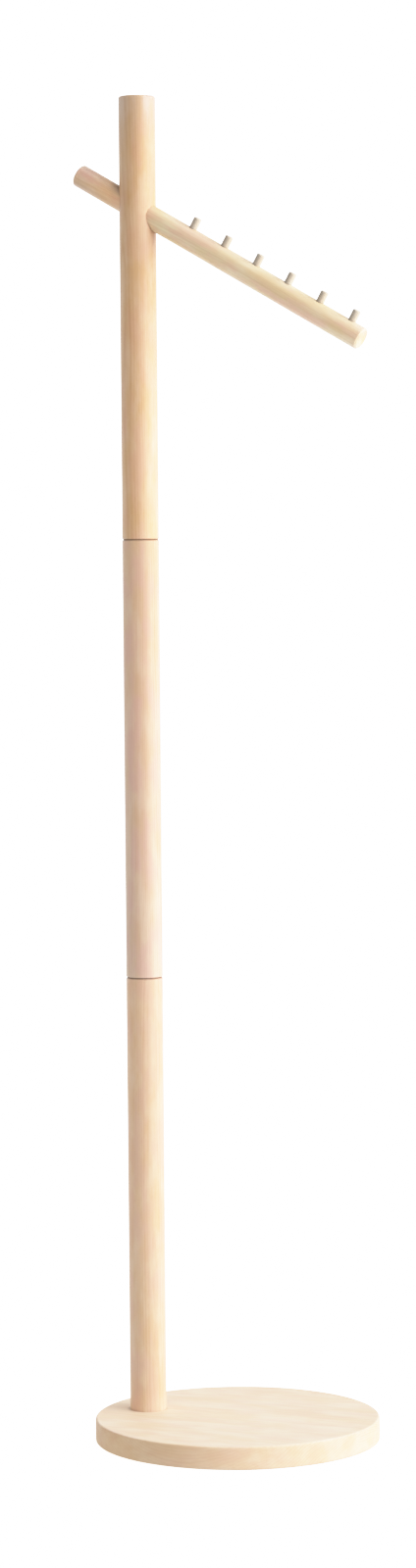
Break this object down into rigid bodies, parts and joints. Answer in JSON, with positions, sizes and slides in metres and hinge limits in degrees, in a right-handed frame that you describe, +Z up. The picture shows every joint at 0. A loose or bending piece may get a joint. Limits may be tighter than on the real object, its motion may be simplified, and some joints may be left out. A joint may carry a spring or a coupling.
{
  "type": "clothes rack",
  "caption": "Free-standing wooden clothes rack: a round sectional pole on an off-centre disc base, with a slanting bar through the pole that carries a row of short pegs.",
  "frame": {"origin": "centre of the round base at floor level, on the underside of the felt", "axes": "+Z up, along the pole; +X from the pole over the disc, the way the arm points; +Y to the back, away from the side that the picture shows"},
  "size_m": [0.3812, 0.35, 1.65],
  "materials": {
    "pole_wood": "satin",
    "base_wood": "satin",
    "bar_wood": "satin",
    "peg_wood": "satin",
    "felt": "matte",
    "fastener_steel": "zinc plated",
    "insert_brass": "machined"
  },
  "bodies": {
    "root": {"base_disc": "base_wood", "base_felt": "felt", "lower_pole": "pole_wood", "middle_pole": "pole_wood", "upper_pole": "pole_wood", "hanging_bar": "bar_wood", "hanger_peg_1": "peg_wood", "hanger_peg_2": "peg_wood", "hanger_peg_3": "peg_wood", "hanger_peg_4": "peg_wood", "hanger_peg_5": "peg_wood", "hanger_peg_6": "peg_wood", "base_bolt": "fastener_steel", "base_washer": "fastener_steel", "base_dowel": "peg_wood", "pole_foot_insert": "insert_brass", "lower_joint_stud": "fastener_steel", "lower_joint_insert": "insert_brass", "upper_joint_stud": "fastener_steel", "upper_joint_insert": "insert_brass", "bar_lock_screw": "fastener_steel"}
  },
  "joints": []
}
